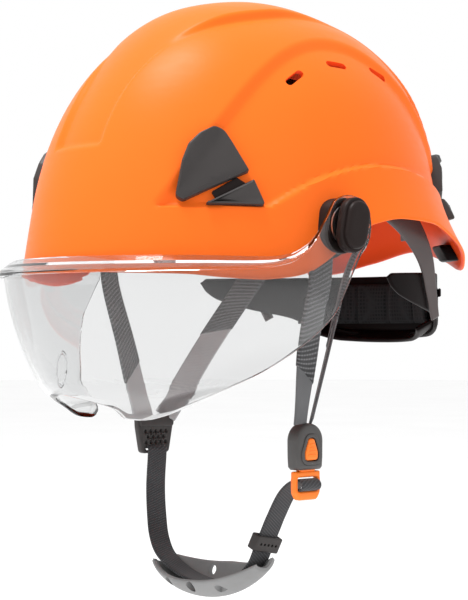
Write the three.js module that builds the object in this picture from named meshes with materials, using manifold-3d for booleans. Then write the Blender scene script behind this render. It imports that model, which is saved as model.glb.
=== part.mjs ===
// Arborist helmet: vented shell, lamp clips, hinged clear visor, ratchet head harness and chin strap.
// Millimetres. Front of the helmet is -Y, the wearer's left is +X, +Z is up.
// The origin is midway between the two visor pivots, at the centre of the head opening.
import * as THREE from 'three';
import { mergeVertices } from 'three/addons/utils/BufferGeometryUtils.js';
import Module from 'manifold-3d';

const wasm = await Module();
wasm.setup();

// ---- driving dimensions -------------------------------------------------------------------------
const GAP = 0.3;                       // clearance between neighbouring pieces
const SHELL = {
  halfLength: 134, halfWidth: 109, centreY: 19.5, crownShiftY: 9,
  baseZ: -30, height: 164.5, roundness: 2.4, wall: 3,
};
const LOOP = { halfLength: 122, halfWidth: 84, centreY: 28, frontPower: 2, napePower: 2.4 };  // head harness
const PIVOT = { y: -4, z: 1, plateX: 115, hole: 4.6 };                         // the visor's axis, along X
const VISOR = { topA: 121, lowA: 105, sideB: 119, noseB: 28, top: -18.5, depth: 85, wall: 2.2 };
const WEB = { width: 15, thick: 1.6 };                                      // chin webbing
const NAPE = { z: -40 };                                                    // height of the ratchet
const CUP = { halfLength: 47, halfWidth: 17.5, floorZ: -211, wall: 3.2 };

// ---- colours and finishes -----------------------------------------------------------------------
const finish = (color, roughness, metalness = 0) => ({ color, roughness, metalness });
const ORANGE = finish(0xff7a28, 0.38);
const BLACK = finish(0x34302e, 0.55);
const NAPE_BLACK = finish(0x141212, 0.5);
const CLEAR = finish(0xe6ecec, 0.05);
const FOAM = finish(0x2b2b2d, 0.95);
const WEBBING = finish(0x77757a, 0.9);
const RIBBON = finish(0x5a4a48, 0.6);
const RUBBER = finish(0x8a8a8a, 0.7);
const STEEL = finish(0xb9bcc0, 0.3, 1);
const BUCKLE_ORANGE = finish(0xff8c32, 0.45);

// ---- small maths --------------------------------------------------------------------------------
const vec = (x, y, z) => new THREE.Vector3(x, y, z);
const radians = THREE.MathUtils.degToRad;
const smooth = (x, low, high) => THREE.MathUtils.smoothstep(x, low, high);
const mix = THREE.MathUtils.lerp;

// Straight lines through [position, value] pairs, level beyond both ends.
function through(pairs, x) {
  if (x <= pairs[0][0]) return pairs[0][1];
  for (let i = 1; i < pairs.length; i += 1) {
    const [x0, y0] = pairs[i - 1];
    const [x1, y1] = pairs[i];
    if (x <= x1) return mix(y0, y1, (x - x0) / (x1 - x0));
  }
  return pairs[pairs.length - 1][1];
}

// ---- solids -------------------------------------------------------------------------------------
function solid(geometry) {
  const bare = geometry.clone();
  bare.deleteAttribute('normal');
  bare.deleteAttribute('uv');
  const merged = mergeVertices(bare, 1e-4);
  const index = merged.index.array;
  const triangles = [];
  for (let i = 0; i < index.length; i += 3) {
    const [a, b, c] = [index[i], index[i + 1], index[i + 2]];
    if (a !== b && b !== c && c !== a) triangles.push(a, b, c);
  }
  const vertProperties = new Float32Array(merged.attributes.position.array);
  const closed = () => new wasm.Manifold(
    new wasm.Mesh({ numProp: 3, vertProperties, triVerts: new Uint32Array(triangles) }),
  );
  const body = closed();
  if (body.volume() > 0) return body;
  triangles.reverse();
  return closed();
}

// Moves every vertex of a box with segments: the box's unit coordinates become a place in space.
function sheet(across, along, place, layers = 1) {
  const box = new THREE.BoxGeometry(1, 1, 1, across, along, layers);
  const position = box.attributes.position;
  for (let i = 0; i < position.count; i += 1) {
    const p = place(position.getX(i) + 0.5, position.getY(i) + 0.5, position.getZ(i) + 0.5);
    position.setXYZ(i, p.x, p.y, p.z);
  }
  return solid(box);
}

function moved(geometry, position, turn = [0, 0, 0]) {
  geometry.rotateX(turn[0]).rotateY(turn[1]).rotateZ(turn[2]);
  geometry.translate(position.x, position.y, position.z);
  return solid(geometry);
}

const box = (size, position, turn) => moved(new THREE.BoxGeometry(...size), position, turn);

// A cylinder whose axis lies along X or Y.
function rod(axis, radius, length, position, sides = 20) {
  const geometry = new THREE.CylinderGeometry(radius, radius, length, sides);
  return moved(geometry, position, axis === 'x' ? [0, 0, Math.PI / 2] : [0, 0, 0]);
}

// A solid of revolution about X or Y: the profile is [distance along the axis, radius].
function turned(axis, profile, position, sides = 32) {
  const points = profile.map(([along, radius]) => new THREE.Vector2(radius, along));
  const geometry = new THREE.LatheGeometry(points, sides);
  return moved(geometry, position, axis === 'x' ? [0, 0, -Math.PI / 2] : [0, 0, 0]);
}

function outline(points) {
  return new THREE.Shape(points.map(([x, y]) => new THREE.Vector2(x, y)));
}

// A prism of the outline, reaching the same distance each way along the normal.
function prism(points, centre, right, up, normal, reach) {
  const geometry = new THREE.ExtrudeGeometry(outline(points), { depth: 2 * reach, bevelEnabled: false });
  geometry.translate(0, 0, -reach);
  geometry.applyMatrix4(new THREE.Matrix4().makeBasis(right, up, normal).setPosition(centre));
  return solid(geometry);
}

// A flat strap along a smooth path; side is the direction of its width.
function strap(points, side, width, thick, steps = 14) {
  const curve = new THREE.CatmullRomCurve3(points, false, 'centripetal');
  return sheet(1, steps, (u, v, w) => {
    const tangent = curve.getTangentAt(v);
    const face = new THREE.Vector3().crossVectors(tangent, side).normalize();
    const across = new THREE.Vector3().crossVectors(face, tangent).normalize();
    const wide = typeof width === 'function' ? width(v) : width;
    const p = curve.getPointAt(v).addScaledVector(across, (u - 0.5) * wide);
    return p.addScaledVector(face, (0.5 - w) * thick);
  });
}

// ---- the shell's surface ------------------------------------------------------------------------
// Rim height by direction: -90 is the front, 0 the side, 90 the back.
const RIM = [[-90, -23], [-66, -24.5], [-48, -25.5], [-38, -27.5], [-30, -28.3], [-23, -27], [-19, -25],
  [-15, -20], [-11, -13], [-5, -3], [0, 3], [10, 7], [22, 6], [34, -1], [46, -9], [60, -18], [75, -11],
  [90, -4]];
const FLARE = [[-90, 1.5], [-30, 3], [0, 5], [25, 8], [48, 13], [90, 18]];

function towardsBack(phi) {
  const s = Math.sin(phi);
  return THREE.MathUtils.radToDeg(Math.asin(THREE.MathUtils.clamp(s, -1, 1)));
}

// The plain dome at a direction and a height.
function dome(phi, z) {
  const h = THREE.MathUtils.clamp((z - SHELL.baseZ) / SHELL.height, 0, 1);
  const spread = (1 - h ** SHELL.roundness) ** (1 / SHELL.roundness);
  const y = SHELL.centreY + SHELL.crownShiftY * h;
  return vec(SHELL.halfWidth * spread * Math.cos(phi), y + SHELL.halfLength * spread * Math.sin(phi), z);
}

function domeNormal(phi, z) {
  const p = dome(phi, z);
  const h = THREE.MathUtils.clamp((z - SHELL.baseZ) / SHELL.height, 0, 0.9999);
  const y = SHELL.centreY + SHELL.crownShiftY * h;
  const spread = (1 - h ** SHELL.roundness) ** (1 / SHELL.roundness);
  const steep = ((h / spread) ** (SHELL.roundness - 1)) / SHELL.height;
  const nx = p.x / (SHELL.halfWidth ** 2 * spread);
  const ny = (p.y - y) / (SHELL.halfLength ** 2 * spread);
  return vec(nx, ny, steep).normalize();
}

// How far the moulded relief stands out of the dome: side panels, front channel and crown ridge.
function relief(p) {
  const arch = 112 - 60 * ((p.y - 30) / 93) ** 2;
  const ledge = Math.max(37 - (p.y < 42 ? 26 * ((p.y - 42) / 83) ** 2 : 9 * ((p.y - 42) / 66) ** 2), 11);
  const panel = smooth(arch - p.z, 0, 10) * smooth(p.z - ledge, -1, 3) * smooth(Math.abs(p.x), 30, 45);
  const half = mix(20, 46, smooth(p.y, -95, 5));
  const level = mix(-2.5, 4.5, smooth(p.y, -80, -20)) - 4 * smooth(p.y, 0, 60) * smooth(p.z, 80, 125);
  const centre = smooth(half - Math.abs(p.x), -4, 4) * smooth(p.z, 44, 50);
  return level * centre - 3.2 * panel;
}

// A point on the shell, v from 0 at the rim to 1 at the crown, a distance out from its outer face.
function shellPoint(phi, v, out) {
  const degrees = towardsBack(phi);
  const rimZ = through(RIM, degrees);
  const low = Math.asin(((rimZ - SHELL.baseZ) / SHELL.height) ** (SHELL.roundness / 2));
  const climb = mix(low, Math.PI / 2, v);
  const z = SHELL.baseZ + SHELL.height * Math.sin(climb) ** (2 / SHELL.roundness);
  const p = dome(phi, z);
  const near = THREE.MathUtils.clamp((rimZ + 36 - z) / 36, 0, 1);
  const normal = domeNormal(phi, z);
  const q = p.clone().addScaledVector(normal, relief(p) + out);
  const flare = through(FLARE, degrees) * near ** 1.7;
  q.x += flare * Math.cos(phi);
  q.y += flare * Math.sin(phi);
  return q;
}

const AROUND = 56;
const RISES = 14;

// A closed dome-shaped layer between two distances from the shell's outer face. A layer that lies
// against the shell runs the other way round, so that its facets match the facets it faces.
function layer(outer, inner, against = true) {
  const profile = [];
  for (let i = 0; i <= RISES; i += 1) profile.push({ v: i / RISES, out: outer });
  for (let i = RISES; i >= 0; i -= 1) profile.push({ v: i / RISES, out: inner });
  profile.push(profile[0]);
  const flat = profile.map((_, i) => new THREE.Vector2(1, i));
  const lathe = new THREE.LatheGeometry(flat, AROUND);
  const position = lathe.attributes.position;
  for (let i = 0; i <= AROUND; i += 1) {
    const phi = ((i % AROUND) / AROUND) * 2 * Math.PI * (against ? -1 : 1);
    profile.forEach(({ v, out }, j) => {
      const p = shellPoint(phi, v, out);
      if (v === 1) p.set(0, SHELL.centreY + SHELL.crownShiftY, p.z);
      position.setXYZ(i * profile.length + j, p.x, p.y, p.z);
    });
  }
  return solid(lathe);
}

// A prism standing on the shell, its outline given as [direction in degrees, height] pairs.
function standing(places, side, reach = 14) {
  const onShell = places.map(([degrees, z]) => {
    const p = dome(radians(degrees), z);
    return vec(side * p.x, p.y, p.z);
  });
  const centre = onShell.reduce((sum, p) => sum.add(p), vec(0, 0, 0)).divideScalar(onShell.length);
  const phi = places.reduce((sum, [degrees]) => sum + radians(degrees), 0) / places.length;
  const height = places.reduce((sum, [, z]) => sum + z, 0) / places.length;
  const normal = domeNormal(phi, height);
  normal.x *= side;
  const right = vec(0, 0, 1).cross(normal).normalize();
  const up = normal.clone().cross(right);
  const flat = onShell.map((p) => p.clone().sub(centre)).map((p) => [p.dot(right), p.dot(up)]);
  return prism(flat, centre, right, up, normal, reach);
}

// ---- pieces -------------------------------------------------------------------------------------
const helmet = new THREE.Group();
helmet.name = 'arborist_helmet';

function add(name, body, { color, roughness, metalness }) {
  const data = body.getMesh();
  const geometry = new THREE.BufferGeometry();
  geometry.setAttribute('position', new THREE.BufferAttribute(new Float32Array(data.vertProperties), 3));
  geometry.setIndex(new THREE.BufferAttribute(new Uint32Array(data.triVerts), 1));
  const mesh = new THREE.Mesh(geometry, new THREE.MeshStandardMaterial({ color, roughness, metalness }));
  mesh.name = name;
  helmet.add(mesh);
}

const SIDES = [['left', 1], ['right', -1]];

function stadium(length, width, steps = 4) {
  const r = width / 2;
  const half = length / 2 - r;
  const points = [];
  for (let i = 0; i <= steps; i += 1) {
    const a = -Math.PI / 2 + (Math.PI * i) / steps;
    points.push([half + r * Math.cos(a), r * Math.sin(a)]);
  }
  for (let i = 0; i <= steps; i += 1) {
    const a = Math.PI / 2 + (Math.PI * i) / steps;
    points.push([-half + r * Math.cos(a), r * Math.sin(a)]);
  }
  return points;
}

// Shell with four vent slots under each side arch.
function shell() {
  let body = layer(0, -SHELL.wall, false);
  const vents = [[-19, 86, 38], [0, 97, -3], [24, 96, -26], [44, 80, -46]];
  for (const [, side] of SIDES) {
    for (const [degrees, z, tilt] of vents) {
      const phi = radians(degrees);
      const p = dome(phi, z);
      const normal = domeNormal(phi, z);
      p.x *= side;
      normal.x *= side;
      const level = vec(0, 0, 1).cross(normal).normalize();
      const rise = normal.clone().cross(level);
      const right = level.clone().applyAxisAngle(normal, radians(tilt) * side);
      const up = rise.clone().applyAxisAngle(normal, radians(tilt) * side);
      body = body.subtract(prism(stadium(15, 4.6), p, right, up, normal, 16));
    }
  }
  return body;
}

const clipPad = layer(6, GAP);
const clipNeck = layer(2.2, GAP);

// A lamp clip: an upper hook plate and a lower triangle joined by a thin neck in the lamp-strap slot.
function lampClip(side, place) {
  const plate = [
    [-52.2, 16], [-51.4, 34], [-50.2, 43], [-47.5, 49], [-43.4, 53.3],
    [-40.8, 51.5], [-38.3, 44.4], [-33.7, 29.5], [-50.2, 13.2],
  ];
  const triangle = [[-44.8, 11.3], [-32.4, 25], [-29.2, 10.8]];
  const neck = [[-43, 18.5], [-36.8, 26.5], [-34, 23], [-41, 13]];
  const at = (points) => points.map(([degrees, z]) => [place(degrees), z]);
  const cut = (points, pad) => standing(at(points), side).intersect(pad);
  return cut(plate, clipPad).add(cut(triangle, clipPad)).add(cut(neck, clipNeck));
}

add('shell', shell(), ORANGE);
for (const [word, side] of SIDES) {
  add(`lamp_clip_front_${word}`, lampClip(side, (degrees) => degrees), BLACK);
  add(`lamp_clip_rear_${word}`, lampClip(side, (degrees) => 19 - degrees), BLACK);
}

// ---- visor --------------------------------------------------------------------------------------
// Edge heights by direction: 0 is the pivot side and 90 the middle of the front.
const LENS_LOW = [[-6, -6], [-2.5, -14], [0, -24], [8, -52], [13, -65], [19.5, -78], [26, -87],
  [32, -96], [38, -102], [45, -104.5], [54, -103.5], [64, -97], [74, -93.5], [82, -91.5], [90, -90]];
const LENS_TOP = [[-6, 8], [-3, 14.5], [2, 17.3], [6, 14.5], [9.5, 4], [13, -6], [16, -11.5], [20, -16],
  [26, -18.2], [32, VISOR.top], [90, VISOR.top]];
const OVERHANG = [[10, 0], [16, 1.2], [30, 3.5], [55, 5], [90, 5.5]];

const fromSide = (degrees) => (degrees <= 90 ? degrees : 180 - degrees);

// A point on the lens, a distance out from its inner face.
function lensPoint(degrees, z, out) {
  const drop = THREE.MathUtils.clamp((-z - 25) / VISOR.depth, 0, 1);
  const tuck = 7 * smooth(drop, 0.7, 0.88);
  const a = mix(VISOR.topA, VISOR.lowA, drop) - tuck;
  const b = VISOR.noseB + (VISOR.sideB - VISOR.noseB) * (1 - drop ** 2.2) - tuck;
  const phi = radians(degrees);
  const p = vec(b * Math.cos(phi), -a * Math.sin(phi), z);
  const normal = vec(Math.cos(phi) / b, -Math.sin(phi) / a, -0.004 * drop).normalize();
  p.x = THREE.MathUtils.clamp(p.x, -VISOR.sideB + 4, VISOR.sideB - 4);
  return p.addScaledVector(normal, out);
}

function visor() {
  const lens = sheet(44, 5, (u, v, w) => {
    const degrees = mix(186, -6, u);
    const seen = fromSide(degrees);
    const z = mix(through(LENS_LOW, seen), through(LENS_TOP, seen), v);
    return lensPoint(degrees, z, mix(0, VISOR.wall, w));
  });
  const flange = sheet(36, 1, (u, v, w) => {
    const degrees = mix(172, 8, u);
    const seen = fromSide(degrees);
    const over = through(OVERHANG, seen);
    const top = through(LENS_TOP, seen);
    const out = mix(-0.5 * over, over + VISOR.wall, v);
    const z = top + mix(0.55 * over, -0.8 * over, v) - mix(2, 0, w);
    return lensPoint(degrees, top, out).setZ(z);
  });
  let body = lens.add(flange);
  for (const [, side] of SIDES) {
    body = body.subtract(rod('x', PIVOT.hole, 12, vec(side * (PIVOT.plateX + 1), PIVOT.y, PIVOT.z)));
  }
  return body;
}

add('visor', visor(), CLEAR);

// Each pivot stacks a base on the shell, a washer and the visor's ear, held by a screw.
// An oval knob covers the screw's head.
const shellSkin = layer(GAP, -12, false);
const ear = { in: PIVOT.plateX, out: PIVOT.plateX + VISOR.wall };
const KNOB = { length: 30, width: 19.5, thick: 7.5 };
const KNOB_X = ear.out + 0.8;
const FACE_X = KNOB_X + KNOB.thick;
const shaft = (side, radius, from, to) =>
  rod('x', radius, to - from, vec((side * (from + to)) / 2, PIVOT.y, PIVOT.z));

for (const [word, side] of SIDES) {
  const skin = shellSkin.add(shellSkin.translate(0, 0, -2 * GAP));
  const base = shaft(side, 15.4, 98, ear.in - 1.6).subtract(skin).subtract(shaft(side, 3, 90, 120));
  const parts = base.decompose();
  parts.sort((a, b) => b.volume() - a.volume());
  add(`visor_base_${word}`, parts[0], BLACK);
  const washer = shaft(side, 11, ear.in - 1.3, ear.in - 0.4).subtract(shaft(side, 3, 90, 120));
  add(`visor_washer_${word}`, washer, STEEL);
  const knobGeometry = new THREE.ExtrudeGeometry(outline(stadium(KNOB.length, KNOB.width)), {
    depth: KNOB.thick - 2,
    bevelEnabled: true,
    bevelThickness: 1,
    bevelSize: 1.4,
    bevelOffset: -1.4,
    bevelSegments: 1,
  });
  const lean = radians(12);
  const out = vec(1, 0, 0);
  const right = vec(0, Math.sin(lean), Math.cos(lean));
  const start = vec(side > 0 ? KNOB_X + 1 : -(FACE_X - 1), PIVOT.y, PIVOT.z);
  const basis = new THREE.Matrix4().makeBasis(right, out.clone().cross(right), out);
  knobGeometry.applyMatrix4(basis.setPosition(start));
  const socket = shaft(side, 5, KNOB_X - 1, KNOB_X + 4.4);
  add(`visor_knob_${word}`, solid(knobGeometry).subtract(socket), BLACK);
  const screw = shaft(side, 2.6, 111.6, KNOB_X + 1.5).add(shaft(side, 4.5, KNOB_X + 0.6, KNOB_X + 4));
  const slot = box([2, 1.2, 6.4], vec(side * (KNOB_X + 4), PIVOT.y, PIVOT.z));
  add(`visor_screw_${word}`, screw.subtract(slot), STEEL);
}

// ---- head harness -------------------------------------------------------------------------------
// A point on the harness outline: 0 is the left side, -90 the front and 90 the nape.
function loopPoint(degrees, z, out) {
  const phi = radians(degrees);
  const c = Math.cos(phi);
  const s = Math.sin(phi);
  const power = 2 / (s < 0 ? LOOP.frontPower : LOOP.napePower);
  const x = Math.sign(c) * Math.abs(c) ** power;
  const y = Math.sign(s) * Math.abs(s) ** power;
  const p = vec(LOOP.halfWidth * x, LOOP.centreY + LOOP.halfLength * y, z);
  const grow = (LOOP.halfWidth + out) / LOOP.halfWidth;
  const stretch = (LOOP.halfLength + out) / LOOP.halfLength;
  return vec(p.x * grow, LOOP.centreY + (p.y - LOOP.centreY) * stretch, z);
}

// A band that follows the outline between two directions; edges are [lower, upper] by direction.
function band(from, to, edges, inner, outer, steps) {
  return sheet(steps, 1, (u, v, w) => {
    const degrees = mix(to, from, u);
    const [low, high] = edges(towardsBack(radians(degrees)));
    return loopPoint(degrees, mix(low, high, v), mix(inner, outer, w));
  });
}

// The headband holds the front half of the head, and ends inside the side anchors.
const bandEdges = (seen) => [
  through([[-90, -16], [-8, -16], [4, -6]], seen),
  through([[-90, 14], [-8, 13], [4, 11]], seen),
];
const BAND_END = 4;
add('headband', band(-180 - BAND_END, BAND_END, bandEdges, 0, 2, 32), NAPE_BLACK);
add('brow_pad', band(-142, -38, () => [-13, 11], -7.3, -GAP, 12), FOAM);

// The nape cradle's wings reach forward to below the side anchors; a sloping lip stiffens its foot.
const napeEdges = (seen) => [
  through([[11, -25], [13, -30], [17, -35], [28, -41], [45, -47], [55, -54], [70, -59], [90, -60]], seen),
  through([[11, -24], [13, -22], [60, -20], [90, -20]], seen),
];
function napeCradle() {
  let body = band(11, 169, napeEdges, 0, 2.6, 34);
  const lip = sheet(18, 1, (u, v, w) => {
    const degrees = mix(128, 52, u);
    const low = napeEdges(towardsBack(radians(degrees)))[0];
    return loopPoint(degrees, low + mix(-3.5, 3, w) + 3 * v, mix(-10, 1, w));
  });
  body = body.add(lip);
  for (const degrees of [68, 112]) {
    const p = loopPoint(degrees, -60, -4.5);
    body = body.subtract(box([26, 3, 14], p, [0, 0, radians(degrees < 90 ? -16 : 16)]));
  }
  return body.subtract(rod('y', 3.4, 30, vec(0, LOOP.centreY + LOOP.halfLength, NAPE.z)));
}
add('nape_cradle', napeCradle(), NAPE_BLACK);
add('nape_pad', band(62, 118, () => [-50.5, -25], -5.3, -GAP, 14), FOAM);

// Toothed tails of the rear arms run behind the cradle, one above and one below the pinion.
function rack(side, low) {
  const from = side > 0 ? 48 : 97;
  const to = side > 0 ? 83 : 132;
  return band(from, to, () => [low, low + 5], 3.1, 4.7, 14);
}
add('rack_left', rack(1, NAPE.z + 5.6), NAPE_BLACK);
add('rack_right', rack(-1, NAPE.z - 10.6), NAPE_BLACK);

const backY = LOOP.centreY + LOOP.halfLength;
function pinion() {
  const profile = [[0, 0], [0, 4], [4.4, 4], [4.4, 2.6], [12, 2.6], [12, 0]];
  let body = turned('y', profile, vec(0, backY + 3.4, NAPE.z), 20);
  for (let i = 0; i < 8; i += 1) {
    const a = (i / 8) * 2 * Math.PI;
    const place = vec(4 * Math.cos(a), backY + 5.6, NAPE.z + 4 * Math.sin(a));
    body = body.add(box([1.8, 4.4, 1.5], place, [0, -a, 0]));
  }
  return body;
}
add('ratchet_pinion', pinion(), BLACK);

function ratchetCover() {
  const outer = band(64, 116, () => [NAPE.z - 15, NAPE.z + 15], 2.9, 10.5, 16);
  const hollow = band(50, 130, () => [NAPE.z - 12.5, NAPE.z + 12.5], 2, 8.3, 20);
  return outer.subtract(hollow).subtract(rod('y', 3.2, 30, vec(0, backY + 8, NAPE.z)));
}
add('ratchet_cover', ratchetCover(), NAPE_BLACK);

function ratchetKnob() {
  const y = backY + 10.8;
  const profile = [[0, 0], [0, 15], [1.5, 17], [9.5, 16], [11.5, 13.5], [11.5, 0]];
  let body = turned('y', profile, vec(0, y, NAPE.z), 24);
  for (let i = 0; i < 12; i += 1) {
    const a = (i / 12) * 2 * Math.PI;
    const place = vec(18 * Math.cos(a), y + 6, NAPE.z + 18 * Math.sin(a));
    body = body.subtract(rod('y', 2.4, 20, place, 6));
  }
  return body.subtract(rod('y', 2.9, 12, vec(0, y, NAPE.z), 14));
}
add('ratchet_knob', ratchetKnob(), BLACK);

// The click spring is a thin leaf inside the cover, beside the pinion.
add('click_spring', box([0.6, 3, 12], vec(7.6, backY + 5.8, NAPE.z)), STEEL);

// ---- anchors, crown straps and rear arms --------------------------------------------------------
const anchorPad = layer(-SHELL.wall - GAP, -SHELL.wall - 7);
const ANCHORS = [['front', -44, 12, 10], ['side', 12, 30, 10], ['rear', 58, -8, 5]];
for (const [word, side] of SIDES) {
  for (const [name, degrees, z, rise] of ANCHORS) {
    const half = 6.2;
    const [from, to] = [degrees - half, degrees + half];
    const corners = [[from, z - rise], [to, z - rise], [to, z + rise], [from, z + rise]];
    add(`anchor_${name}_${word}`, standing(corners, side).intersect(anchorPad), BLACK);
  }
}

const CROWN = { y: 42, z: 96, rise: 2.6 };

function insideShell(degrees, z) {
  const phi = radians(degrees);
  return dome(phi, z).addScaledVector(domeNormal(phi, z), -SHELL.wall - 19);
}

// A strap from one anchor over the head to another, crossing the middle at the given level.
function crownStrap(from, fromZ, to, toZ, level) {
  const start = insideShell(from, fromZ);
  const end = insideShell(to, toZ);
  const points = [];
  for (let i = 0; i <= 12; i += 1) {
    const t = i / 12;
    const p = start.clone().lerp(end, (1 - Math.cos(Math.PI * t)) / 2);
    points.push(p.setZ(mix(mix(fromZ, toZ, t), CROWN.z + level, Math.sin(Math.PI * t) ** 0.8)));
  }
  const side = end.clone().sub(start).cross(vec(0, 0, 1)).normalize();
  return strap(points, side, 18, 1.4, 20);
}
add('crown_strap_front_left', crownStrap(-44, 14, 122, 0, 0), WEBBING);
add('crown_strap_front_right', crownStrap(-136, 14, 58, 0, CROWN.rise), WEBBING);
add('crown_strap_middle', crownStrap(12, 32, 168, 32, 2 * CROWN.rise), WEBBING);
const padProfile = [[-6, 0], [-8, 28], [-5, 31], [-1.5, 28], [0, 0]];
const crownPad = new THREE.LatheGeometry(padProfile.map(([z, r]) => new THREE.Vector2(r, z)), 24);
crownPad.rotateX(Math.PI / 2);
add('crown_pad', moved(crownPad, vec(0, CROWN.y, CROWN.z - 9)), FOAM);

for (const [word, side] of SIDES) {
  const route = [vec(side * 89, 58, 17), vec(side * 86.5, 72, 8.5), vec(side * 83.5, 85.5, -2.5),
    vec(side * 80.5, 96, -15), vec(side * 77, 103.5, -31), vec(side * 74, 110.5, -48)];
  const arm = strap(route, vec(0, 0.72, 0.7), (v) => mix(21, 7, v), 1.6, 14);
  add(`rear_arm_${word}`, arm, RIBBON);
}

// ---- chin harness -------------------------------------------------------------------------------
// Two strands on each side meet at the divider or the buckle. The left ones gather at the buckle.
const FRONT_ROUTE = {
  left: [vec(88.5, 1, 8), vec(88.5, 2, -24), vec(81.5, 0.5, -58), vec(70.5, 3.5, -105.8)],
  right: [vec(-84, -12, 8), vec(-86, -13, -22), vec(-78, -6, -64), vec(-70, 1.5, -105.5)],
};
for (const [word, side] of SIDES) {
  const end = side > 0 ? vec(68.3, 13.8, -105.2) : vec(-67.5, 16.5, -103.6);
  const gather = side > 0 ? (v) => WEB.width - 5.5 * smooth(v, 0.6, 1) : WEB.width;
  add(`chin_front_${word}`, strap(FRONT_ROUTE[word], vec(0, 1, 0.1), gather, WEB.thick), WEBBING);
  const rear = [vec(side * 37, 88, 4), vec(side * 42, 67, -22), vec(side * 55, 41, -64), end];
  add(`chin_rear_${word}`, strap(rear, vec(-0.766 * side, 0.643, 0), gather, WEB.thick), WEBBING);
}

// A plate standing in the plane of Y and Z, given by [y, z] corners, from one x to another.
function plate(points, x0, x1) {
  const depth = Math.abs(x1 - x0);
  const geometry = new THREE.ExtrudeGeometry(outline(points), { depth, bevelEnabled: false });
  const basis = new THREE.Matrix4().makeBasis(vec(0, 1, 0), vec(0, 0, 1), vec(1, 0, 0));
  geometry.applyMatrix4(basis.setPosition(vec(Math.min(x0, x1), 0, 0)));
  return solid(geometry);
}

const RIGHT_X = -69;
function dividerRight() {
  const shield = [[-5, -107.5], [23, -107.5], [22.5, -115], [19.5, -131], [-1.5, -131], [-4.5, -115]];
  let body = plate(shield, RIGHT_X - 2.5, RIGHT_X + 2.5);
  for (const [z, ys] of [[-113, [-1, 4, 9, 14, 19]], [-118, [3, 9, 15]], [-123, [1, 5, 9, 13, 17]]]) {
    for (const y of ys) body = body.subtract(rod('x', 1.2, 10, vec(RIGHT_X, y, z), 6));
  }
  return body.subtract(box([8, 16, 2.6], vec(RIGHT_X, 9, -127.7)));
}
add('strap_divider_right', dividerRight(), BLACK);

const LEFT_X = 69;
const BUCKLE = { half: 5, archY: 9, archZ: -117, archRadius: 10, bottom: -133 };
const BUTTON = { x: LEFT_X + 2.4, y: 9, z: -122, radius: 5.8, length: 3.4 };
function buckleHousing() {
  const shield = [[18.5, BUCKLE.bottom]];
  for (let i = 0; i <= 12; i += 1) {
    const a = (i / 12) * Math.PI;
    const y = BUCKLE.archY + BUCKLE.archRadius * Math.cos(a);
    shield.push([y, BUCKLE.archZ + BUCKLE.archRadius * Math.sin(a)]);
  }
  shield.push([-0.5, BUCKLE.bottom]);
  const body = plate(shield, LEFT_X - BUCKLE.half, LEFT_X + BUCKLE.half);
  const pocket = box([7, 14.6, 12], vec(LEFT_X, BUTTON.y, -129));
  const window = rod('x', BUTTON.radius + 0.5, 12, vec(LEFT_X + 6, BUTTON.y, BUTTON.z));
  const chamber = box([7, 13.4, 13.4], vec(LEFT_X, BUTTON.y, BUTTON.z));
  return body.subtract(pocket).subtract(window).subtract(chamber);
}
add('buckle_housing', buckleHousing(), BLACK);

function buckleButton() {
  let body = rod('x', BUTTON.radius, BUTTON.length, vec(BUTTON.x + BUTTON.length / 2, BUTTON.y, BUTTON.z));
  for (const rise of [-2.4, 0, 2.4]) {
    body = body.subtract(box([1, 7, 0.8], vec(BUTTON.x + BUTTON.length, BUTTON.y, BUTTON.z + rise)));
  }
  return body;
}
add('buckle_button', buckleButton(), BUCKLE_ORANGE);
const springProfile = [[0, 1.4], [0, 2.6], [4.2, 2.6], [4.2, 1.4], [0, 1.4]];
add('buckle_spring', turned('x', springProfile, vec(LEFT_X - 2.1, BUTTON.y, BUTTON.z + 1.5), 16), STEEL);

function buckleTongue() {
  const outer = [[2, -150], [16, -150], [18.5, -146], [18.5, -133.8], [-0.5, -133.8], [-0.5, -146]];
  const body = plate(outer, LEFT_X - 2.4, LEFT_X + 2.4);
  const prong = box([4, 12, 6.2], vec(LEFT_X, 9, -131));
  return body.add(prong).subtract(box([8, 15.6, 8], vec(LEFT_X, 9, -141)));
}
add('buckle_tongue', buckleTongue(), BUCKLE_ORANGE);

// One length of webbing runs from the right divider through the cup up to the buckle tongue.
const KEEPER = { from: vec(47.5, 6, -161), to: vec(38, 0.5, -187) };
const chinRoute = [
  vec(-68.5, 8.6, -133), vec(-65, 7.5, -150), vec(-61, 5, -166), vec(-53, 1, -181), vec(-41, -2, -191.5),
  vec(-22, -2, -199.6), vec(0, -2, -202.4), vec(20, -2, -199.2), vec(31, -1, -194), KEEPER.to,
  KEEPER.to.clone().lerp(KEEPER.from, 0.35), KEEPER.to.clone().lerp(KEEPER.from, 0.7), KEEPER.from,
  vec(53.5, 8, -149), vec(60, 9, -143), vec(65.8, 9, -140.8),
];
const chinWebbing = (extra) => strap(chinRoute, vec(0, 1, 0), WEB.width + extra, WEB.thick + extra / 2, 36);
add('chin_strap', chinWebbing(0), WEBBING);

function slideKeeper() {
  const along = KEEPER.from.clone().sub(KEEPER.to).normalize();
  const across = vec(0, 1, 0).addScaledVector(along, -along.y).normalize();
  const face = along.clone().cross(across);
  const centre = KEEPER.to.clone().lerp(KEEPER.from, 0.42);
  const loop = [[-10, -3.2], [10, -3.2], [10, 3.2], [-10, 3.2]];
  const inside = [[-8.3, -1.5], [8.3, -1.5], [8.3, 1.5], [-8.3, 1.5]];
  const back = along.clone().negate();
  let body = prism(loop, centre, across, face, back, 4.6);
  body = body.subtract(prism(inside, centre, across, face, back, 9));
  for (const a of [-6, -3, 0, 3, 6]) {
    const place = centre.clone().addScaledVector(across, a).addScaledVector(face, 2.4);
    body = body.subtract(prism(stadium(1.6, 1.5, 2), place, across, along, face.clone().negate(), 1.6));
  }
  return body;
}
add('slide_keeper', slideKeeper(), BLACK);

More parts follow.
